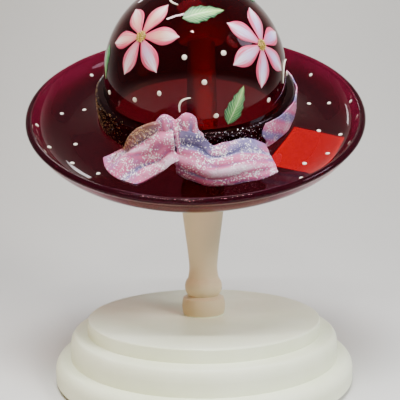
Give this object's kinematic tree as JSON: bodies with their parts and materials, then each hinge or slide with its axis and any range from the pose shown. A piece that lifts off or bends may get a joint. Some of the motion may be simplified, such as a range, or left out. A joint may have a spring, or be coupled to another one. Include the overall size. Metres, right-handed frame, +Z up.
{
  "type": "glass hat on stand",
  "caption": "Painted ruby glass lady's hat with a moulded ribbon bow, tilted on a turned cream wooden stand that it turns on, tips on and lifts off.",
  "frame": {"origin": "centre of the felt under the round base, on the table", "axes": "+Z up along the spindle, -Y towards the front of the hat with its bow, +X to the viewer's right"},
  "size_m": [0.2374, 0.2118, 0.2689],
  "materials": {
    "cream_painted_wood": "cream satin paint on turned wood",
    "felt": "wool felt",
    "screw_steel": "zinc plated",
    "beech_dowel": "bare beech",
    "ruby_glass": "polished deep ruby",
    "frosted_ribbon": "acid frosted, tinted pink and lavender, with glitter",
    "petal_enamel": "brushed enamel",
    "stamen_enamel": "stippled enamel",
    "leaf_enamel": "brushed enamel",
    "cream_enamel": "raised enamel"
  },
  "bodies": {
    "stand": {"base_lower_board": "cream_painted_wood", "base_middle_board": "cream_painted_wood", "base_top_board": "cream_painted_wood", "spindle": "cream_painted_wood", "spindle_screw": "screw_steel", "base_screws": "screw_steel", "felt_base": "felt", "head_dowel": "beech_dowel"},
    "swivel_head": {"post_head": "cream_painted_wood"},
    "felt_pad": {"felt_cap": "felt"},
    "hat": {"glass_shell": "ruby_glass", "hat_band": "ruby_glass", "band_ribbon": "frosted_ribbon", "bow_knot": "frosted_ribbon", "bow_left_tail": "frosted_ribbon", "bow_right_tail": "frosted_ribbon", "blossom_petals": "petal_enamel", "blossom_centres": "stamen_enamel", "painted_leaves": "leaf_enamel", "painted_stems": "cream_enamel", "crown_dots": "cream_enamel", "brim_dots": "cream_enamel"}
  },
  "joints": [
    {"name": "hat_turn", "type": "hinge", "parent": "stand", "child": "swivel_head", "pos_m": [0, 0, 0.2285], "axis": [0, 0, 1], "continuous": true},
    {"name": "hat_lift", "type": "slide", "parent": "swivel_head", "child": "felt_pad", "axis": [0, 0, 1], "range_m": [0, 0.16]},
    {"name": "hat_tilt", "type": "hinge", "parent": "felt_pad", "child": "hat", "pos_m": [-0.0045, 0, 0.2063], "axis": [1, 0, 0], "range_deg": [-35.4, 5]}
  ]
}
